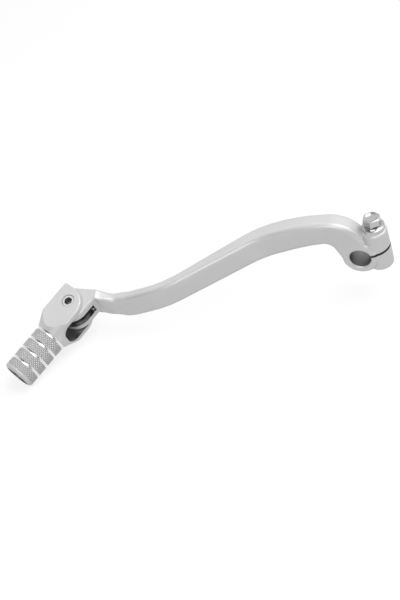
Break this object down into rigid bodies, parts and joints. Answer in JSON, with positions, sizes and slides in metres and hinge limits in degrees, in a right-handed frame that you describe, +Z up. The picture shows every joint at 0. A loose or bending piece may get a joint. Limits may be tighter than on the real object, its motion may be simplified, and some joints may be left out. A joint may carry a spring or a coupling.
{
  "type": "motorcycle gear shift lever",
  "caption": "Cranked aluminium foot lever with a split clamp hub, pinch bolt and a knurled toe peg that folds back on a sprung pivot.",
  "frame": {"origin": "middle of the shift shaft's bore, on its axis", "axes": "+Y along the bore towards the engine, +Z up along the pinch bolt, the arm running forward towards -X"},
  "size_m": [0.1981, 0.0798, 0.052],
  "materials": {
    "arm_aluminium": "satin silver, bead blasted and anodised",
    "tip_aluminium": "satin silver with a knurled peg and bright turned grooves",
    "plated_bolt": "bright plating",
    "pivot_steel": "bright steel",
    "bush_steel": "plain turned steel",
    "spring_steel": "drawn wire"
  },
  "bodies": {
    "arm": {"shift_arm": "arm_aluminium", "pinch_bolt": "plated_bolt", "pivot_bush": "bush_steel", "return_spring": "spring_steel"},
    "tip": {"folding_tip": "tip_aluminium", "pivot_bolt": "pivot_steel"}
  },
  "joints": [
    {"name": "tip_fold", "type": "hinge", "parent": "arm", "child": "tip", "pos_m": [-0.1518, -0.0311, -0.0091], "axis": [0, -0.309, 0.9511], "range_deg": [0, 70], "stiffness_Nm_per_rad": 0.25, "springref_deg": -45.84, "deforming": ["return_spring"]}
  ]
}
